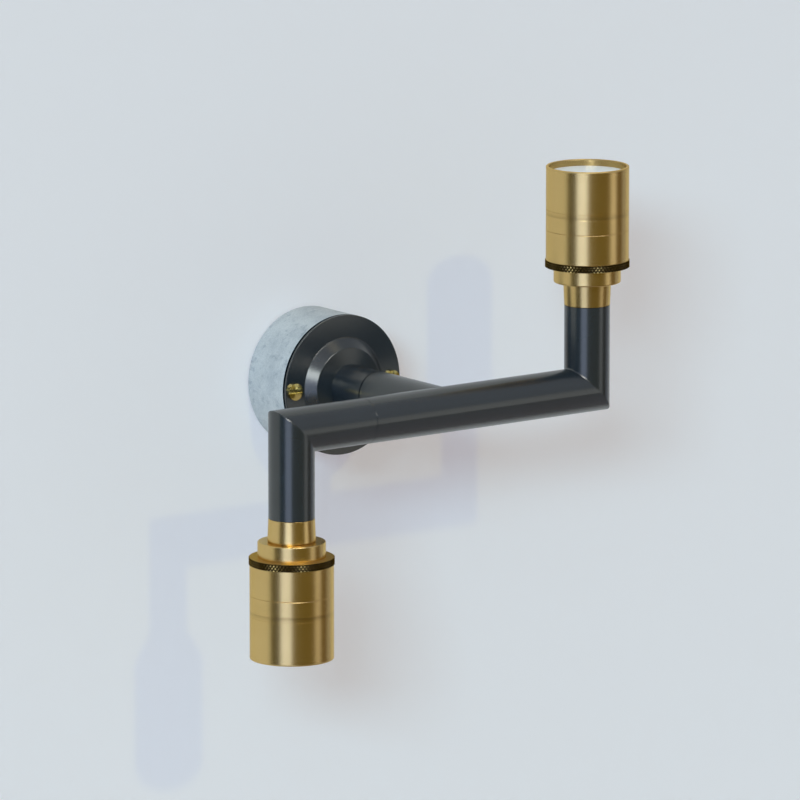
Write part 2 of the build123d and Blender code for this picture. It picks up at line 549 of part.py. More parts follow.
# Heads: the upper one on the right and, turned half round, the lower one on the left
for side, head_name in ((1, "upper"), (-1, "lower")):
    section = head_section(side)
    axis = head_axis(side)

    with BuildPart() as collar:
        with BuildSketch(section):
            with BuildLine():
                Polyline(
                    (COLLAR_BORE / 2, TUBE_END - COLLAR_SPIGOT),
                    (TUBE_BORE / 2 - FIT, TUBE_END - COLLAR_SPIGOT),
                    (TUBE_BORE / 2 - FIT, TUBE_END),
                    (COLLAR_OD / 2 - COLLAR_EDGE, TUBE_END),
                    (COLLAR_OD / 2, TUBE_END + COLLAR_EDGE),
                    (COLLAR_FLARE_OD / 2, CAP_LEVEL - COLLAR_GAP),
                    (COLLAR_FLARE_OD / 2 - COLLAR_GAP_DEPTH, CAP_LEVEL - COLLAR_GAP),
                    (COLLAR_FLARE_OD / 2 - COLLAR_GAP_DEPTH, CAP_LEVEL),
                    (NOSE_OD / 2, CAP_LEVEL),
                    (NOSE_OD / 2, CAP_LEVEL + NOSE_LENGTH),
                    (COLLAR_BORE / 2, CAP_LEVEL + NOSE_LENGTH),
                    close=True,
                )
            make_face()
        revolve(axis=axis)
        flare_rim = collar.edges().filter_by(GeomType.CIRCLE).group_by(SortBy.RADIUS)[-1]
        fillet(flare_rim, radius=COLLAR_ROUND)
    keep(collar, f"{head_name}_collar")

    with BuildPart() as cap:
        with BuildSketch(section):
            ring_section(COLLAR_BORE, CAP_OD, CAP_LEVEL, RING_LEVEL)
            ring_section(COLLAR_BORE, RING_JOURNAL_OD, RING_LEVEL, CUP_LEVEL)
            ring_section(COLLAR_BORE, CAP_THREAD_OD, CUP_LEVEL, CUP_LEVEL + CUP_FLOOR)
            with Locations((0, CAP_LEVEL)):
                Rectangle(
                    NOSE_OD / 2 + FIT,
                    NOSE_LENGTH + FIT,
                    align=(Align.MIN, Align.MIN),
                    mode=Mode.SUBTRACT,
                )
        revolve(axis=axis)
        cap_rim = cap.edges().filter_by(GeomType.CIRCLE).group_by(SortBy.RADIUS)[-1].sort_by(axis)[0]
        fillet(cap_rim, radius=CAP_EDGE)
    keep(cap, f"{head_name}_cap")

    with BuildPart() as knurled_ring:
        with BuildSketch(section):
            ring_section(RING_JOURNAL_OD + 2 * RUN, RING_OD, RING_LEVEL + RUN_END, CUP_LEVEL - RUN_END)
        revolve(axis=axis)
        ring_rims = knurled_ring.edges().filter_by(GeomType.CIRCLE).group_by(SortBy.RADIUS)[-1]
        chamfer(ring_rims, length=RING_EDGE)
    keep(knurled_ring, f"{head_name}_ring")

    with BuildPart() as cup:
        with BuildSketch(section):
            ring_section(CAP_THREAD_OD + 2 * FIT, HEAD_OD, CUP_LEVEL, CUP_LEVEL + CUP_FLOOR)
            ring_section(CUP_BORE, HEAD_OD, CUP_LEVEL, SLEEVE_LEVEL)
        revolve(axis=axis)
        cup_rim = cup.edges().filter_by(GeomType.CIRCLE).group_by(SortBy.RADIUS)[-1].sort_by(axis)[-1]
        fillet(cup_rim, radius=JOINT_ROUND)
    keep(cup, f"{head_name}_cup")

    with BuildPart() as sleeve:
        with BuildSketch(section):
            ring_section(SLEEVE_BORE, CUP_BORE - 2 * FIT, SLEEVE_LEVEL - SLEEVE_SPIGOT, SLEEVE_LEVEL)
            ring_section(SLEEVE_BORE, HEAD_OD, SLEEVE_LEVEL, DIFFUSER_SEAT)
            ring_section(RIM_BORE, HEAD_OD, DIFFUSER_SEAT, RIM_LEVEL)
            with BuildLine(mode=Mode.PRIVATE) as groove:
                Polyline(
                    (HEAD_OD / 2, GROOVE_LEVEL),
                    (HEAD_OD / 2 - GROOVE_DEPTH, GROOVE_FLOOR),
                    (HEAD_OD / 2 - GROOVE_LIP, NOTCH_LEVEL),
                    (HEAD_OD / 2 - NOTCH, NOTCH_LEVEL + NOTCH),
                    (HEAD_OD / 2, NOTCH_LEVEL + 2 * NOTCH),
                    close=True,
                )
            make_face(groove.edges(), mode=Mode.SUBTRACT)
        revolve(axis=axis)
        outer_rims = sleeve.edges().filter_by(GeomType.CIRCLE).group_by(SortBy.RADIUS)[-1].sort_by(axis)
        fillet(outer_rims[0], radius=JOINT_ROUND)
        mouth = sleeve.edges().filter_by(GeomType.CIRCLE).group_by(axis)[-1]
        fillet(mouth, radius=RIM_EDGE)
    keep(sleeve, f"{head_name}_sleeve")

    with BuildPart() as heat_sink:
        with BuildSketch(section):
            ring_section(SINK_BORE, SLEEVE_BORE - 2 * FIT, CUP_LEVEL + CUP_FLOOR, SINK_TOP)
            groove_pitch = (SINK_HEIGHT - BOARD_SCREW_LENGTH) / (SINK_GROOVES + 1)
            for groove_number in range(1, SINK_GROOVES + 1):
                groove_level = SINK_TOP - BOARD_SCREW_LENGTH - groove_number * groove_pitch
                with Locations((SLEEVE_BORE / 2, groove_level)):
                    Rectangle(
                        SINK_GROOVE_DEPTH,
                        SINK_GROOVE,
                        align=(Align.MAX, Align.CENTER),
                        mode=Mode.SUBTRACT,
                    )
        revolve(axis=axis)
        with BuildSketch(head_level(side, SINK_TOP)):
            with GridLocations(BOARD_SCREW_SPACING, 0, 2, 1):
                Circle(BOARD_SCREW_OD / 2 + FIT)
        extrude(amount=-BOARD_SCREW_LENGTH, mode=Mode.SUBTRACT)
    keep(heat_sink, f"{head_name}_heat_sink")

    with BuildPart() as led_board:
        with BuildSketch(head_level(side, SINK_TOP)):
            Circle(BOARD_OD / 2)
            with GridLocations(BOARD_SCREW_SPACING, 0, 2, 1):
                Circle(BOARD_SCREW_OD / 2 + FIT, mode=Mode.SUBTRACT)
        extrude(amount=BOARD_T)
    keep(led_board, f"{head_name}_led_board")

    with BuildPart() as led_chip:
        with BuildSketch(head_level(side, BOARD_TOP)):
            Circle(CHIP_OD / 2)
        extrude(amount=CHIP_T)
        fillet(led_chip.edges().group_by(axis)[-1], radius=CHIP_EDGE)
    keep(led_chip, f"{head_name}_led_chip")

    with BuildPart() as board_screws:
        with BuildSketch(head_level(side, BOARD_TOP)):
            with GridLocations(BOARD_SCREW_SPACING, 0, 2, 1):
                Circle(BOARD_SCREW_OD / 2)
        extrude(amount=-BOARD_SCREW_LENGTH)
        with BuildSketch(head_level(side, BOARD_TOP)):
            with GridLocations(BOARD_SCREW_SPACING, 0, 2, 1):
                Circle(BOARD_SCREW_HEAD_OD / 2)
        extrude(amount=BOARD_SCREW_HEAD)
    keep(board_screws, f"{head_name}_board_screws")

    with BuildPart() as reflector:
        with BuildSketch(section):
            with BuildLine():
                Polyline(
                    (REFLECTOR_MOUTH_OD / 2 - REFLECTOR_WALL, BOARD_TOP),
                    (REFLECTOR_MOUTH_OD / 2, BOARD_TOP),
                    (SLEEVE_BORE / 2 - FIT, DIFFUSER_SEAT - REFLECTOR_WALL),
                    (SLEEVE_BORE / 2 - FIT, DIFFUSER_SEAT),
                    (SLEEVE_BORE / 2 - FIT - REFLECTOR_WALL, DIFFUSER_SEAT),
                    close=True,
                )
            make_face()
        revolve(axis=axis)
    keep(reflector, f"{head_name}_reflector")

    with BuildPart() as diffuser:
        with BuildSketch(head_level(side, DIFFUSER_SEAT)):
            Circle(RIM_BORE / 2 - FIT)
        extrude(amount=DIFFUSER_T)
    keep(diffuser, f"{head_name}_diffuser")

# Wiring: one sheathed cable on the axis of each swivel, split in the arm behind the stem
with BuildPart() as cable_splice:
    with BuildSketch(ARM_MIDDLE.offset(-SPLICE_LENGTH / 2)):
        RectangleRounded(SPLICE_SIDE, SPLICE_SIDE, SPLICE_EDGE)
    extrude(amount=SPLICE_LENGTH)
keep(cable_splice, "cable_splice")

BLOCK_FOOT = BLOCK_RISE - BLOCK_HEIGHT / 2
BLOCK_Y = -BRACKET_T - BLOCK_DEPTH / 2
CABLE_ROUTES = {
    "base_cable": [(0, BLOCK_Y, BLOCK_FOOT), (0, BLOCK_Y, 0), (0, -NECK_SEAM + RUN_END, 0)],
    "stem_cable": [(0, -NECK_SEAM - RUN_END, 0), (0, -ARM_REACH + SPLICE_SIDE / 2, 0)],
    "arm_cable": [(-SPLICE_LENGTH / 2, -ARM_REACH, 0), (-ARM_SEAM + RUN_END, -ARM_REACH, 0)],
    "upper_cable": [
        (SPLICE_LENGTH / 2, -ARM_REACH, 0),
        (HEAD_X, -ARM_REACH, 0),
        (HEAD_X, -ARM_REACH, SINK_TOP),
    ],
    "lower_cable": [
        (-ARM_SEAM - RUN_END, -ARM_REACH, 0),
        (-HEAD_X, -ARM_REACH, 0),
        (-HEAD_X, -ARM_REACH, -SINK_TOP),
    ],
}
CABLE_BENDS = {"base_cable": BLOCK_FOOT - CABLE_LEAD, "upper_cable": ELBOW_BEND, "lower_cable": ELBOW_BEND}

for cable_name, points in CABLE_ROUTES.items():
    with BuildPart() as cable:
        with BuildLine() as route:
            if cable_name in CABLE_BENDS:
                FilletPolyline(points, radius=CABLE_BENDS[cable_name])
            else:
                Line(*points)
        with BuildSketch(Plane(route.line @ 0, z_dir=route.line % 0)):
            Circle(CABLE_OD / 2)
        sweep(path=route.line)
    keep(cable, cable_name)
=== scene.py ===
import json
import math

import bpy
from mathutils import Matrix, Vector, noise


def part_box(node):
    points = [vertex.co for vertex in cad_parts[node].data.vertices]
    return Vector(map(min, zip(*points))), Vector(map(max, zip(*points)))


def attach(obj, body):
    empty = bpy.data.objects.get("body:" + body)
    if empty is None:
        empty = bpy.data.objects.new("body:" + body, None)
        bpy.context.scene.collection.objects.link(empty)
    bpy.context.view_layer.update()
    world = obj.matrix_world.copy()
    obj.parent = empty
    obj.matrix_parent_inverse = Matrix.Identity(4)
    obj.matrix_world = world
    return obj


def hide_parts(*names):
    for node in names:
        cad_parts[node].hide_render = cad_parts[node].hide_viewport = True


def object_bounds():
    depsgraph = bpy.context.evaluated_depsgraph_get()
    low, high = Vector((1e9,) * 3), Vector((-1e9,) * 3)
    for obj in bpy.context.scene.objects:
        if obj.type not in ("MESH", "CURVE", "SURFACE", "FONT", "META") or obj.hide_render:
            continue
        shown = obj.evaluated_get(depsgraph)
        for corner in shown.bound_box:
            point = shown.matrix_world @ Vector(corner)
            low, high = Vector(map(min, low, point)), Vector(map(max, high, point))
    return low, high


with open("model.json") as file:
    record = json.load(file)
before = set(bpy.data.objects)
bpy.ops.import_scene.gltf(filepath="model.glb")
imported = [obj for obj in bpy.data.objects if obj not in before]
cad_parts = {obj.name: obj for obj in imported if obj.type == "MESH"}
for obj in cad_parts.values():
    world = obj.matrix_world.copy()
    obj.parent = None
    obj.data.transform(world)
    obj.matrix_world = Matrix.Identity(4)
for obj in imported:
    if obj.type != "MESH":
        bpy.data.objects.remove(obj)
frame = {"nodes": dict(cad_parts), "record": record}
cad_low, cad_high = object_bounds()

# Looks of an industrial wall light: satin brass heads, black tubes and a cast concrete base.
# Metres. X runs along the wall, Y into it and Z up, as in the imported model.

# Camera, as seen in the photograph
CAMERA_AZIMUTH = math.radians(-36.677)
CAMERA_ELEVATION = math.radians(10.995)
CAMERA_DISTANCE = 4.5197
CAMERA_TARGET = Vector((0.01314, -0.05982, -0.00451))
CAMERA_SENSOR = 36.0
CAMERA_LENS = 422.3

# Room
WALL_SHADE = (0.85, 0.85, 0.85)
WALL_FILL = (0.138, 0.103, 0.131)
WALL_RADIUS = 1.2
WALL_HOLE = 0.033          # behind the base, which covers it
WALL_CLEAR = 0.0004        # from the base's back to the wall
FLOOR_Z = -0.75
FLOOR_WIDTH = 4.0
FLOOR_DEPTH = 1.6
ROOM_LIGHT = (0.36, 0.36, 0.36)
ROOM_GLOSS = (0.40, 0.43, 0.53)

# Knurled rings
KNURL_PITCH = 0.0017
KNURL_DEPTH = 0.00029
KNURL_ROWS = 3             # half diamonds in the ring's height
RING_EDGE = 0.00012        # from each face of the ring to the knurl
RING_BORE = 0.01505

# Tubes and their mitres
TUBE_RADIUS = 0.011
ARM_REACH = 0.088          # from the stem's axis to each head's axis
ARM_DEPTH = 0.110          # from the wall to the arm's axis
BLEND = 0.00045            # how far a mitre's small bevel runs along each tube
BLEND_LIFT = 0.00001       # off the tubes, so that the bevel's edges show
BLEND_STEPS = 384

# Painted shadow lines in the black paint, dark and without gloss, by their depth from the wall: full to one
# distance, gone at the next
NECK_SEAM = 0.0592
NECK_SEAM_SHADOW = (0.0003, 0.0005)
PLATE_BACK = 0.0290
PLATE_BACK_SHADOW = (0.0013, 0.0015)
PAINTED_SHADOW_BLACK = (0.006, 0.008, 0.011, 1.0)

# Heads, by their levels from the arm's axis: the sleeve's groove, its open bore and its rim
SLEEVE_RADIUS = 0.020
GROOVE = (0.0856, 0.0886)
GROOVE_SOFTENED = ((0.0852, 0.000003), (0.0860, -0.00003), (0.0883, -0.00001))
OPEN_END = (0.095, 0.096)
BORE = (0.0187, 0.0190)    # radius, from the bore's wall to the rim
BORE_SHADE = 0.68
RIM = (0.1083, 0.1088)
RIM_ROUGHNESS = 0.46

# Rounded edge of the cross arm at its seam, by its distance left of the stem
SEAM_SOFTENED = ((0.04533, 0.000003), (0.045465, -0.000045))

# Thin rings that soften such edges
BAND_DEPTH = 0.0005        # how far a ring is let into the surface
BAND_CORNER = math.radians(8.0)
BAND_STEPS = 160

# Concrete
CONCRETE_VOXEL = 0.0006
PIT_CELL = 0.0032          # one pit at most in each cell of this size
PIT_DRAW = 7.3             # spreads the draw of each cell's pit
PIT_NONE = 0.35            # cells that draw less than this have no pit
PIT_SIZE = 0.34
PIT_SMALLEST = 0.02
PIT_DEPTH = 0.0009
PIT_SHADE = 1.4
WAVE_SIZE = 0.009
WAVE_DEPTH = 0.00012

# Cards that shape the reflections
CARD_DISTANCE = 12.0
NEAR_CARD_DISTANCE = 11.9  # in front of another card
LAMP_DISTANCE = 2.0
CARD_STEPS = 12
LAMP_SIDES = 24
FLOOR_STEPS = 24

WHITE = (1.0, 1.0, 1.0)


def add(tree, kind, inputs=None, **settings):
    """Adds a shader node. An input is a plain value or another node's socket."""
    made = tree.nodes.new(kind)
    for key, value in settings.items():
        setattr(made, key, value)
    for key, value in (inputs or {}).items():
        if isinstance(value, bpy.types.NodeSocket):
            tree.links.new(value, made.inputs[key])
        else:
            made.inputs[key].default_value = value
    return made


def start_material(name):
    """A new material with its tree, its main shader and the object's own coordinates."""
    made = bpy.data.materials.new(name)
    made.use_nodes = True
    tree = made.node_tree
    shader = tree.nodes["Principled BSDF"]
    place = add(tree, "ShaderNodeTexCoord").outputs["Object"]
    return made, tree, shader, place


def grain(tree, place, stretch, detail=3.0, roughness=0.5):
    """Noise over the object; stretch is how many grains fit in a metre along X, Y and Z."""
    spread = add(tree, "ShaderNodeMapping", {"Vector": place, "Scale": stretch})
    made = add(tree, "ShaderNodeTexNoise", {"Vector": spread.outputs["Vector"], "Scale": 1.0})
    made.inputs["Detail"].default_value = detail
    made.inputs["Roughness"].default_value = roughness
    return made.outputs["Fac"]


def maths(tree, operation, *values):
    """Result of a sum on one or two values or sockets."""
    return add(tree, "ShaderNodeMath", dict(enumerate(values)), operation=operation).outputs[0]


def ranged(tree, value, low, high, to_low, to_high):
    """Value moved from one range to another, and held at the ends."""
    made = add(tree, "ShaderNodeMapRange", {"Value": value, "From Min": low, "From Max": high})
    made.inputs["To Min"].default_value = to_low
    made.inputs["To Max"].default_value = to_high
    return made.outputs["Result"]


def shades(tree, value, *stops):
    """Colour by a value: each stop is a place from 0 to 1 and a colour."""
    made = add(tree, "ShaderNodeValToRGB", {"Fac": value})
    ramp = made.color_ramp
    while len(ramp.elements) < len(stops):
        ramp.elements.new(1.0)
    for element, (place, colour) in zip(ramp.elements, stops):
        element.position = place
        element.color = (*colour, 1.0)
    return made.outputs["Color"]


def mixed(tree, factor, first, second, blend="MIX"):
    """Colour between two others, each a plain colour or another node's socket."""
    made = add(tree, "ShaderNodeMix", data_type="RGBA", blend_type=blend)
    for socket, value in ((made.inputs[0], factor), (made.inputs[6], first), (made.inputs[7], second)):
        if isinstance(value, bpy.types.NodeSocket):
            tree.links.new(value, socket)
        else:
            socket.default_value = value
    return made.outputs[2]


def bump(tree, shader, height, strength, distance):
    """Fine relief in a surface, such as sand or grain."""
    made = add(tree, "ShaderNodeBump", {"Height": height, "Strength": strength, "Distance": distance})
    tree.links.new(made.outputs["Normal"], shader.inputs["Normal"])


def metal(name, colour, rough, stretch, tone=0.004, relief=0.0005):
    """Metal with grain lines: colour and gloss vary along them, and a faint tarnish lies over all."""
    made, tree, shader, place = start_material(name)
    lines = grain(tree, place, stretch)
    darkening = grain(tree, place, (55.0, 55.0, 55.0), detail=4.0)
    dark = tuple(c * (1 - tone) for c in colour)
    light = tuple(min(1.0, c * (1 + tone)) for c in colour)
    lined = shades(tree, lines, (0.3, dark), (0.7, light))
    aged = shades(tree, darkening, (0.35, (0.96, 0.95, 0.92)), (0.65, (1.0, 1.0, 1.0)))
    tree.links.new(mixed(tree, 1.0, lined, aged, "MULTIPLY"), shader.inputs["Base Color"])
    tree.links.new(ranged(tree, lines, 0.3, 0.7, rough - 0.004, rough + 0.004), shader.inputs["Roughness"])
    shader.inputs["Metallic"].default_value = 1.0
    bump(tree, shader, lines, relief, 0.00005)
    return made


def coated(name, colour, rough, speck, relief=0.06):
    """Paint, plastic or rubber with a fine skin: small specks in its tone, gloss and height."""
    made, tree, shader, place = start_material(name)
    skin = grain(tree, place, (speck, speck, speck), detail=2.0)
    cloud = grain(tree, place, (38.0, 38.0, 38.0), detail=3.0)
    dark = tuple(c * 0.90 for c in colour)
    light = tuple(min(1.0, c * 1.08) for c in colour)
    tree.links.new(shades(tree, cloud, (0.3, dark), (0.7, light)), shader.inputs["Base Color"])
    tree.links.new(ranged(tree, skin, 0.3, 0.7, rough - 0.03, rough + 0.03), shader.inputs["Roughness"])
    bump(tree, shader, skin, relief, 0.00005)
    return made


def near(tree, value, middle, full, gone):
    """1 where a value is within the full distance of the middle, falling to 0 at the last distance."""
    off = maths(tree, "SUBTRACT", value, middle)
    return ranged(tree, maths(tree, "ABSOLUTE", off), full, gone, 1.0, 0.0)


def black_paint(name, colour, rough):
    """Satin black, with painted shadow as dark, glossless lines in the neck's seam and on the back of the
    plate's rim.
    """
    made, tree, shader, place = start_material(name)
    skin = grain(tree, place, (2200.0, 2200.0, 2200.0), detail=2.0)
    cloud = grain(tree, place, (38.0, 38.0, 38.0), detail=3.0)
    dark = tuple(c * 0.92 for c in colour)
    light = tuple(c * 1.06 for c in colour)
    depth = add(tree, "ShaderNodeSeparateXYZ", {"Vector": place}).outputs["Y"]
    # painted shadow: a dark, glossless line where the neck's seam gap is
    seam = near(tree, depth, -NECK_SEAM, *NECK_SEAM_SHADOW)
    # painted shadow: the back of the plate's rim made dark and glossless, as a shadow gap against the
    # concrete
    back = near(tree, depth, -PLATE_BACK, *PLATE_BACK_SHADOW)
    painted_shadow = maths(tree, "MAXIMUM", seam, back)
    paint = shades(tree, cloud, (0.3, dark), (0.7, light))
    tree.links.new(mixed(tree, painted_shadow, paint, PAINTED_SHADOW_BLACK), shader.inputs["Base Color"])
    tree.links.new(ranged(tree, painted_shadow, 0.0, 1.0, 0.5, 0.0), shader.inputs["Specular IOR Level"])
    tree.links.new(ranged(tree, skin, 0.3, 0.7, rough - 0.01, rough + 0.01), shader.inputs["Roughness"])
    shader.inputs["IOR"].default_value = 1.77
    shader.inputs["Specular Tint"].default_value = (1.0, 0.92, 0.72, 1.0)
    return made


def turned_brass(name, colour, rough):
    """Satin brass off the lathe, darker in each sleeve's groove, with painted shade inside each bore, and
    dulled at its rim.
    """
    made = metal(name, colour, rough, TURNED, tone=0.001, relief=0.0)
    tree = made.node_tree
    shader = tree.nodes["Principled BSDF"]
    shader.inputs["Specular Tint"].default_value = (0.96, 0.86, 0.62, 1.0)
    clean = shader.inputs["Base Color"].links[0].from_socket
    place = add(tree, "ShaderNodeTexCoord").outputs["Object"]
    upper = add(tree, "ShaderNodeVectorMath", {0: place}, operation="ABSOLUTE").outputs["Vector"]
    height = add(tree, "ShaderNodeSeparateXYZ", {"Vector": upper}).outputs["Z"]
    axis = (ARM_REACH, ARM_DEPTH, 0.0)
    centred = add(tree, "ShaderNodeVectorMath", {0: upper, 1: axis}, operation="SUBTRACT").outputs["Vector"]
    across = {0: centred, 1: (1.0, 1.0, 0.0)}
    level = add(tree, "ShaderNodeVectorMath", across, operation="MULTIPLY").outputs["Vector"]
    radius = add(tree, "ShaderNodeVectorMath", {0: level}, operation="LENGTH").outputs["Value"]
    # painted shade inside the open bore: darker within its wall, past the sleeve's open end
    bored = ranged(tree, radius, *BORE, BORE_SHADE, 1.0)
    along = ranged(tree, height, *GROOVE, 0.0, 1.0)
    # darker band along the groove: sharply darker at its edge nearer the cap, fading back out towards the
    # rim
    darkening = shades(tree, along, (0.02, WHITE), (0.14, (0.80, 0.78, 0.75)), (0.9, WHITE))
    grooved = mixed(tree, 1.0, clean, darkening, "MULTIPLY")
    open_end = ranged(tree, height, *OPEN_END, 0.0, 1.0)
    greys = {"Red": bored, "Green": bored, "Blue": bored}
    inside = add(tree, "ShaderNodeCombineColor", greys).outputs["Color"]
    tree.links.new(mixed(tree, open_end, grooved, inside, "MULTIPLY"), shader.inputs["Base Color"])
    tree.links.new(ranged(tree, height, *RIM, rough, RIM_ROUGHNESS), shader.inputs["Roughness"])
    return made


def knurl_metal(name, flat_colour):
    """Dark bronze patina in the knurl's grooves, deepened to near black at their bottoms as painted shade,
    rubbed bright at its points, and plain brass on the flats.
    """
    made, tree, shader, place = start_material(name)
    tip = add(tree, "ShaderNodeAttribute", attribute_name="knurl").outputs["Fac"]
    flat = add(tree, "ShaderNodeAttribute", attribute_name="flat").outputs["Fac"]
    wear = grain(tree, place, (700.0, 700.0, 700.0), detail=2.0)
    rubbed = ranged(tree, wear, 0.35, 0.65, 0.85, 1.0)
    worn = maths(tree, "MULTIPLY", tip, rubbed)
    # dark bronze patina, with the lowest stop near black as painted shade in the grooves
    bronze = ((0.12, (0.004, 0.002, 0.001)), (0.28, (0.090, 0.060, 0.018)), (0.75, (0.21, 0.15, 0.056)))
    colour = shades(tree, worn, *bronze)
    tree.links.new(mixed(tree, flat, colour, (*flat_colour, 1.0)), shader.inputs["Base Color"])
    tree.links.new(ranged(tree, flat, 0.0, 1.0, 0.27, 0.42), shader.inputs["Roughness"])
    shader.inputs["Metallic"].default_value = 1.0
    shader.inputs["Specular Tint"].default_value = (0.42, 0.32, 0.16, 1.0)
    return made


def cast_concrete(name):
    """Pale grey concrete: clouded tone, darker blotches, fine sand, and painted shade in its pits."""
    made, tree, shader, place = start_material(name)
    cloud = grain(tree, place, (90.0, 90.0, 90.0), detail=6.0, roughness=0.65)
    blotch = grain(tree, place, (240.0, 190.0, 240.0), detail=5.0, roughness=0.65)
    sand = grain(tree, place, (1400.0, 1400.0, 1400.0), detail=2.0)
    pit = add(tree, "ShaderNodeAttribute", attribute_name="pit").outputs["Fac"]
    greys = ((0.32, (0.54, 0.545, 0.58)), (0.51, (0.65, 0.645, 0.67)), (0.70, (0.74, 0.73, 0.75)))
    tone = shades(tree, cloud, *greys)
    spots = shades(tree, blotch, (0.32, (0.72, 0.74, 0.78)), (0.46, WHITE))
    blotched = mixed(tree, 1.0, tone, spots, "MULTIPLY")
    grains = shades(tree, sand, (0.3, (0.9, 0.9, 0.9)), (0.7, (1.05, 1.05, 1.05)))
    sanded = mixed(tree, 1.0, blotched, grains, "MULTIPLY")
    # painted shade in the pits
    pitted = mixed(tree, pit, sanded, (0.36, 0.39, 0.43, 1.0))
    tree.links.new(pitted, shader.inputs["Base Color"])
    tree.links.new(ranged(tree, cloud, 0.3, 0.7, 0.78, 0.92), shader.inputs["Roughness"])
    bump(tree, shader, sand, 0.25, 0.00010)
    return made


def opal_plastic(name):
    """Milky disc: light sinks in a little, its skin is satin, and a faint painted glow brightens it."""
    made, tree, shader, place = start_material(name)
    cloud = grain(tree, place, (120.0, 120.0, 120.0))
    milk = shades(tree, cloud, (0.3, (0.90, 0.89, 0.93)), (0.7, (0.94, 0.93, 0.96)))
    tree.links.new(milk, shader.inputs["Base Color"])
    tree.links.new(ranged(tree, cloud, 0.3, 0.7, 0.30, 0.34), shader.inputs["Roughness"])
    shader.inputs["Specular IOR Level"].default_value = 0.15
    # painted glow: the disc shines faintly though the lamp is off
    shader.inputs["Emission Color"].default_value = (0.88, 0.95, 1.0, 1.0)
    shader.inputs["Emission Strength"].default_value = 0.14
    shader.inputs["Subsurface Weight"].default_value = 0.4
    shader.inputs["Subsurface Radius"].default_value = (0.002, 0.002, 0.002)
    return made


BRASS = (0.69, 0.484, 0.188)
TURNED = (24.0, 24.0, 2600.0)
EVEN_GRAIN = (900.0, 900.0, 900.0)
MATERIALS = {
    "concrete": cast_concrete("concrete"),
    "black_metal": black_paint("black_metal", (0.015, 0.024, 0.035), 0.25),
    "satin_brass": turned_brass("satin_brass", BRASS, 0.27),
    "knurled_brass": knurl_metal("knurled_brass", BRASS),
    "screw_brass": metal("screw_brass", (0.84, 0.70, 0.24), 0.20, EVEN_GRAIN),
    "terminal_brass": metal("terminal_brass", (0.78, 0.60, 0.26), 0.28, EVEN_GRAIN),
    "bearing_bronze": metal("bearing_bronze", (0.60, 0.40, 0.20), 0.35, EVEN_GRAIN),
    "steel": metal("steel", (0.56, 0.57, 0.58), 0.32, EVEN_GRAIN),
    "aluminium": metal("aluminium", (0.74, 0.75, 0.76), 0.33, TURNED),
    "board_white": coated("board_white", (0.82, 0.83, 0.83), 0.42, 1600.0),
    "led_phosphor": coated("led_phosphor", (0.86, 0.66, 0.14), 0.35, 2400.0),
    "white_plastic": coated("white_plastic", (0.80, 0.80, 0.78), 0.40, 1500.0),
    "opal": opal_plastic("opal"),
    "cable_sheath": coated("cable_sheath", (0.030, 0.030, 0.032), 0.55, 1200.0),
}
for subpart in frame["record"]["subparts"]:
    frame["nodes"][subpart["node"]].material_slots[0].material = MATERIALS[subpart["material_slot"]]


def new_piece(name, mesh, body, slot, *replaced):
    """Piece of the light that rides on a body, in place of the nodes named last."""
    made = bpy.data.objects.new(name, mesh)
    bpy.context.scene.collection.objects.link(made)
    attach(made, body)
    if replaced:
        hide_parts(*replaced)
    return made


def knurled_ring(name, node, body):
    """Ring with a diamond knurl: points and groove crossings alternate on a grid round its rim."""
    low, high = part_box(node)
    centre = (low + high) / 2
    outer = (high.x - low.x) / 2
    columns = 2 * round(math.tau * outer / KNURL_PITCH)
    band_low = low.z + RING_EDGE
    row_height = (high.z - low.z - 2 * RING_EDGE) / KNURL_ROWS
    rings = [(band_low + row * row_height, outer, True) for row in range(KNURL_ROWS + 1)]
    rings += [(high.z, outer - RING_EDGE - KNURL_DEPTH, False), (high.z, RING_BORE, False)]
    rings += [(low.z, RING_BORE, False), (low.z, outer - RING_EDGE - KNURL_DEPTH, False)]
    points = []
    tips = []
    flats = []
    for row, (level, radius, knurled) in enumerate(rings):
        for column in range(columns):
            groove = knurled and (row + column) % 2 == 0
            reach = radius - KNURL_DEPTH if groove else radius
            turn = math.tau * column / columns
            points.append((centre.x + reach * math.cos(turn), centre.y + reach * math.sin(turn), level))
            tips.append(1.0 if knurled and not groove else 0.0)
            flats.append(0.0 if knurled else 1.0)
    faces = []
    for row in range(len(rings)):
        above = (row + 1) % len(rings)
        for column in range(columns):
            beside = (column + 1) % columns
            a, b = row * columns + column, row * columns + beside
            c, d = above * columns + beside, above * columns + column
            if row >= KNURL_ROWS:
                faces.append((a, b, c, d))
            elif (row + column) % 2 == 0:
                faces += [(a, b, c), (a, c, d)]
            else:
                faces += [(a, b, d), (b, c, d)]
    mesh = bpy.data.meshes.new(name)
    mesh.from_pydata(points, [], faces)
    mesh.materials.append(MATERIALS["knurled_brass"])
    mesh.attributes.new("knurl", "FLOAT", "POINT").data.foreach_set("value", tips)
    mesh.attributes.new("flat", "FLOAT", "POINT").data.foreach_set("value", flats)
    return new_piece(name, mesh, body, "knurled_brass", node)


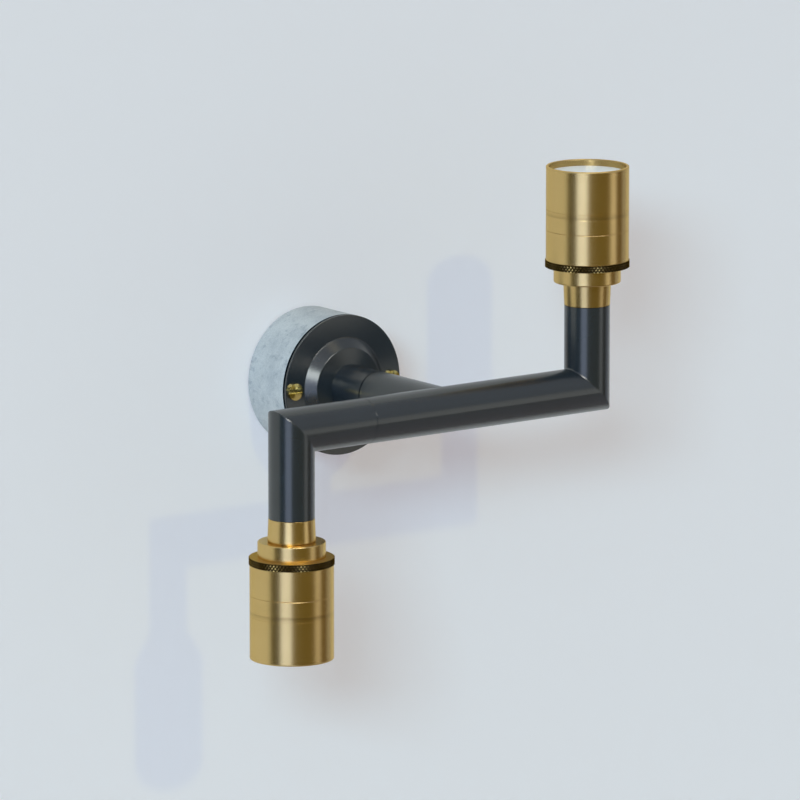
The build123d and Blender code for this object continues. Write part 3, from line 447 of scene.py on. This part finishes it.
def mitre_blend(name, side, body):
    """Small bevel over a mitre's seam, round the ellipse where an arm meets its upright."""
    along_arm = Vector((-side, 0, 0))
    along_upright = Vector((0, 0, side))
    middle = Vector((side * ARM_REACH, -ARM_DEPTH, 0))
    points = []
    for k in range(BLEND_STEPS):
        turn = math.tau * k / BLEND_STEPS
        off_arm = Vector((0, -math.cos(turn), math.sin(turn)))
        off_upright = Vector((-math.sin(turn), -math.cos(turn), 0))
        off_seam = (off_arm + off_upright).normalized()
        seam = middle + TUBE_RADIUS * Vector((-math.sin(turn), -math.cos(turn), math.sin(turn)))
        points.append(seam + BLEND * along_arm + BLEND_LIFT * off_arm)
        points.append(seam + BLEND * along_upright + BLEND_LIFT * off_upright)
        points.append(seam - BLEND * off_seam)
    across = len(points) // BLEND_STEPS
    faces = []
    for k in range(BLEND_STEPS):
        row, ahead = k * across, (k + 1) % BLEND_STEPS * across
        for j in range(across):
            beside = (j + 1) % across
            faces.append((row + j, row + beside, ahead + beside, ahead + j))
    mesh = bpy.data.meshes.new(name)
    mesh.from_pydata(points, [], faces)
    mesh.materials.append(MATERIALS["black_metal"])
    return new_piece(name, mesh, body, "black_metal")


def turned_band(name, outline, surface, place, body, slot):
    """Thin ring let into a round surface, from levels along its axis and heights off the surface."""
    profile = [(surface + off, level) for level, off in outline]
    profile += [(surface - BAND_DEPTH, outline[-1][0]), (surface - BAND_DEPTH, outline[0][0])]
    count = len(profile)
    points = []
    faces = []
    for k in range(BAND_STEPS):
        turn = math.tau * k / BAND_STEPS
        row, ahead = k * count, (k + 1) % BAND_STEPS * count
        for j, (radius, level) in enumerate(profile):
            beside = (j + 1) % count
            points.append(place @ Vector((radius * math.cos(turn), radius * math.sin(turn), level)))
            faces.append((row + j, ahead + j, ahead + beside, row + beside))
    mesh = bpy.data.meshes.new(name)
    mesh.from_pydata(points, [], faces)
    mesh.materials.append(MATERIALS[slot])
    mesh.shade_smooth()
    mesh.set_sharp_from_angle(angle=BAND_CORNER)
    return new_piece(name, mesh, body, slot)


def pitted_concrete(name, node, body):
    """The cast block with a slightly uneven skin and open air pits, all sunk below its true surface."""
    low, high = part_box(node)
    source = frame["nodes"][node]
    remesh = source.modifiers.new("even faces", "REMESH")
    remesh.mode = "VOXEL"
    remesh.voxel_size = CONCRETE_VOXEL
    remesh.use_smooth_shade = True
    mesh = bpy.data.meshes.new_from_object(source.evaluated_get(bpy.context.evaluated_depsgraph_get()))
    source.modifiers.remove(remesh)
    mesh.name = name
    sunk = []
    pits = []
    normals = [vertex.normal.copy() for vertex in mesh.vertices]
    for vertex, normal in zip(mesh.vertices, normals):
        distances, cells = noise.voronoi(vertex.co / PIT_CELL)
        size = PIT_SIZE * max(0.0, noise.cell(cells[0] * PIT_DRAW) - PIT_NONE)
        pit = max(0.0, 1 - distances[0] / size) if size > PIT_SMALLEST else 0.0
        wave = 0.5 + 0.5 * noise.noise(vertex.co / WAVE_SIZE)
        depth = WAVE_DEPTH * min(1.0, max(0.0, wave)) + PIT_DEPTH * size * math.sqrt(pit)
        place = vertex.co - normal * depth
        sunk.append([min(max(p, l), h) for p, l, h in zip(place, low, high)])
        # painted shade for each pit, darkest at its middle
        pits.append(min(1.0, PIT_SHADE * pit))
    for vertex, place in zip(mesh.vertices, sunk):
        vertex.co = place
    mesh.attributes.new("pit", "FLOAT", "POINT").data.foreach_set("value", pits)
    mesh.materials.clear()
    mesh.materials.append(MATERIALS["concrete"])
    return new_piece(name, mesh, body, "concrete", node)


knurled_ring("upper_knurled_ring", "upper_ring", "upper_locking_ring")
knurled_ring("lower_knurled_ring", "lower_ring", "lower_locking_ring")
mitre_blend("right_mitre_blend", 1, "swivel_frame")
mitre_blend("left_mitre_blend", -1, "left_arm")
upper_head = Matrix.Translation((ARM_REACH, -ARM_DEPTH, 0.0))
lower_head = Matrix.Translation((-ARM_REACH, -ARM_DEPTH, 0.0)) @ Matrix.Rotation(math.pi, 4, "X")
arm_end = Matrix.Translation((0.0, -ARM_DEPTH, 0.0)) @ Matrix.Rotation(-math.pi / 2, 4, "Y")
turned_band("upper_groove_blend", GROOVE_SOFTENED, SLEEVE_RADIUS, upper_head, "swivel_frame", "satin_brass")
turned_band("lower_groove_blend", GROOVE_SOFTENED, SLEEVE_RADIUS, lower_head, "left_arm", "satin_brass")
turned_band("arm_seam_edge", SEAM_SOFTENED, TUBE_RADIUS, arm_end, "swivel_frame", "black_metal")
pitted_concrete("concrete_block", "concrete_base", "wall_base")


def staged(name, points, faces, material):
    """Object of the room round the light."""
    mesh = bpy.data.meshes.new(name)
    mesh.from_pydata(points, [], faces)
    mesh.materials.append(material)
    made = bpy.data.objects.new(name, mesh)
    bpy.context.scene.collection.objects.link(made)
    return made


def wall_paint():
    """Pale matt paint, seen from the room only: from behind, the wall lets the view through."""
    made, tree, shader, place = start_material("wall_paint")
    cloud = grain(tree, place, (6.0, 6.0, 6.0))
    light = tuple(c * 1.004 for c in WALL_SHADE)
    tree.links.new(shades(tree, cloud, (0.3, WALL_SHADE), (0.7, light)), shader.inputs["Base Color"])
    shader.inputs["Roughness"].default_value = 0.95
    shader.inputs["Specular IOR Level"].default_value = 0.0
    ray = add(tree, "ShaderNodeLightPath").outputs
    mirrored = maths(tree, "MAXIMUM", ray["Is Camera Ray"], ray["Is Glossy Ray"])
    seen = maths(tree, "MAXIMUM", mirrored, ray["Is Transmission Ray"])
    shader.inputs["Emission Color"].default_value = (*WALL_FILL, 1.0)
    tree.links.new(seen, shader.inputs["Emission Strength"])
    behind = add(tree, "ShaderNodeNewGeometry").outputs["Backfacing"]
    clear = add(tree, "ShaderNodeBsdfTransparent").outputs["BSDF"]
    either = add(tree, "ShaderNodeMixShader", {0: behind, 1: shader.outputs["BSDF"], 2: clear})
    tree.links.new(either.outputs["Shader"], tree.nodes["Material Output"].inputs["Surface"])
    return made


def glow(name, colour):
    """Material that only shines."""
    made = bpy.data.materials.new(name)
    made.use_nodes = True
    tree = made.node_tree
    tree.nodes.remove(tree.nodes["Principled BSDF"])
    light = add(tree, "ShaderNodeEmission", {"Color": (*colour, 1.0), "Strength": 1.0})
    tree.links.new(light.outputs["Emission"], tree.nodes["Material Output"].inputs["Surface"])
    return made


PAINT = wall_paint()

# Wall round the base, and the floor in front of it
SIDES = 96
rim = [(math.sin(math.tau * k / SIDES), math.cos(math.tau * k / SIDES)) for k in range(SIDES)]
wall_points = [(r * x, WALL_CLEAR, r * z) for r in (WALL_HOLE, WALL_RADIUS) for x, z in rim]
wall_faces = [(k, (k + 1) % SIDES, SIDES + (k + 1) % SIDES, SIDES + k) for k in range(SIDES)]
staged("wall", wall_points, wall_faces, PAINT)
half = FLOOR_WIDTH / 2
floor_edge = [(-half, -FLOOR_DEPTH), (half, -FLOOR_DEPTH), (half, 0), (-half, 0)]
floor = staged("floor", [(x, y, FLOOR_Z) for x, y in floor_edge], [(0, 1, 2, 3)], PAINT)
floor.visible_glossy = False


def out_from(azimuth, elevation, distance):
    """Point at a distance from the light's middle; azimuth 0 is straight out from the wall."""
    a, e = math.radians(azimuth), math.radians(elevation)
    away = Vector((math.sin(a) * math.cos(e), -math.cos(a) * math.cos(e), math.sin(e)))
    return Vector((0, cad_low.y / 2, 0)) + distance * away


def soft_box(name, azimuth, elevation, distance, width, height, colour, radiance):
    """Large soft lamp that faces the light; gloss shows a card in its place."""
    light = bpy.data.lights.new(name, "AREA")
    light.shape = "RECTANGLE"
    light.size = width
    light.size_y = height
    light.color = colour
    light.energy = radiance * math.pi * width * height
    made = bpy.data.objects.new(name, light)
    made.location = out_from(azimuth, elevation, distance)
    aim = out_from(azimuth, elevation, 0.0) - made.location
    made.rotation_euler = aim.to_track_quat("-Z", "Y").to_euler()
    made.visible_camera = False
    made.visible_glossy = False
    bpy.context.scene.collection.objects.link(made)
    return made


def gloss_only(made):
    """Object that shows in reflections alone."""
    made.visible_camera = False
    made.visible_diffuse = False
    made.visible_shadow = False
    made.visible_transmission = False
    return made


def card(name, first, last, low, high, colour, distance=CARD_DISTANCE):
    """Curved card from one azimuth to another and one elevation to another."""
    points = []
    for elevation in (low, high):
        for k in range(CARD_STEPS + 1):
            edge = out_from(first + (last - first) * k / CARD_STEPS, 0.0, distance)
            points.append((edge.x, edge.y, distance * math.tan(math.radians(elevation))))
    above = CARD_STEPS + 1
    faces = [(k, k + 1, above + k + 1, above + k) for k in range(CARD_STEPS)]
    return gloss_only(staged(name, points, faces, glow(name, colour)))


def lamp_card(name, azimuth, elevation, radius, colour):
    """Round lamp overhead, for the small glints on bevels."""
    away = out_from(azimuth, elevation, 1.0) - out_from(azimuth, elevation, 0.0)
    side = away.orthogonal().normalized()
    front = away.cross(side)
    reach = LAMP_DISTANCE * math.tan(math.radians(radius))
    middle = out_from(azimuth, elevation, LAMP_DISTANCE)
    turns = [math.tau * k / LAMP_SIDES for k in range(LAMP_SIDES)]
    points = [middle + reach * (math.cos(t) * side + math.sin(t) * front) for t in turns]
    return gloss_only(staged(name, points, [tuple(range(LAMP_SIDES))], glow(name, colour)))


def floor_card(name, first, last, reach, level, colour):
    """Level card below the light: a sector of a disc, from one azimuth to another."""
    points = [(0.0, 0.0, level)]
    for k in range(FLOOR_STEPS + 1):
        edge = out_from(first + (last - first) * k / FLOOR_STEPS, 0.0, reach)
        points.append((edge.x, edge.y, level))
    faces = [(0, k + 1, k + 2) for k in range(FLOOR_STEPS)]
    return gloss_only(staged(name, points, faces, glow(name, colour)))


def sun(name, azimuth, elevation, spread, colour, strength):
    """Distant lamp; its spread is its width in degrees."""
    light = bpy.data.lights.new(name, "SUN")
    light.color = colour
    light.energy = strength
    light.angle = math.radians(spread)
    made = bpy.data.objects.new(name, light)
    made.rotation_euler = (-out_from(azimuth, elevation, 1.0)).to_track_quat("-Z", "Y").to_euler()
    made.visible_glossy = False
    bpy.context.scene.collection.objects.link(made)
    return made


soft_box("window_light", -46.0, 19.0, 24.0, 6.76, 3.76, (0.53, 0.82, 1.0), 26.5)
soft_box("sky_light", -52.0, 24.0, 24.0, 14.7, 11.1, (0.53, 0.82, 1.0), 1.33)
sun("warm_light", -3.6, 35.6, 1.8, (1.0, 0.915, 0.17), 0.218)

card("left_card", -109.0, -67.4, -19.0, 30.0, (0.07, 0.066, 0.015))
card("window_card", -67.4, -36.9, -19.0, 25.0, (1.19, 1.46, 2.36))
card("pane_card", -53.0, -39.0, 9.0, 25.5, (10.0, 11.8, 14.6), NEAR_CARD_DISTANCE)
card("front_card", -36.9, 26.0, -19.0, 30.0, (0.165, 0.136, 0.035))
card("strip_card", 29.4, 49.0, -14.0, 8.0, (0.92, 0.96, 1.06), NEAR_CARD_DISTANCE)
card("right_card", 26.0, 74.0, -19.0, 9.0, (0.12, 0.08, 0.005))
card("skylight_card", -27.0, 16.0, 32.0, 39.0, (15.0, 16.2, 19.5), NEAR_CARD_DISTANCE)
lamp_card("ceiling_card", 38.0, 78.0, 8.0, (6.0, 5.6, 4.4))
floor_card("near_floor_card", -120.0, 120.0, 5.3, -4.12, (0.32, 0.29, 0.30))
floor_card("far_floor_card", -120.0, 27.0, 12.6, -4.13, (0.08, 0.06, 0.02))
floor_card("right_floor_card", 27.0, 120.0, 12.6, -4.13, (0.32, 0.29, 0.30))

world = bpy.data.worlds.new("room")
world.use_nodes = True
room = world.node_tree
glossy = add(room, "ShaderNodeLightPath").outputs["Is Glossy Ray"]
surroundings = mixed(room, glossy, (*ROOM_LIGHT, 1.0), (*ROOM_GLOSS, 1.0))
room.links.new(surroundings, room.nodes["Background"].inputs["Color"])
bpy.context.scene.world = world

camera = bpy.data.cameras.new("camera")
camera.sensor_width = CAMERA_SENSOR
camera.lens = CAMERA_LENS
camera.clip_end = 20.0
viewer = bpy.data.objects.new("camera", camera)
away = Vector((
    math.sin(CAMERA_AZIMUTH) * math.cos(CAMERA_ELEVATION),
    -math.cos(CAMERA_AZIMUTH) * math.cos(CAMERA_ELEVATION),
    math.sin(CAMERA_ELEVATION),
))
viewer.location = CAMERA_TARGET + CAMERA_DISTANCE * away
viewer.rotation_euler = (-away).to_track_quat("-Z", "Y").to_euler()
bpy.context.scene.collection.objects.link(viewer)
bpy.context.scene.camera = viewer
bpy.context.scene.view_settings.view_transform = "Standard"
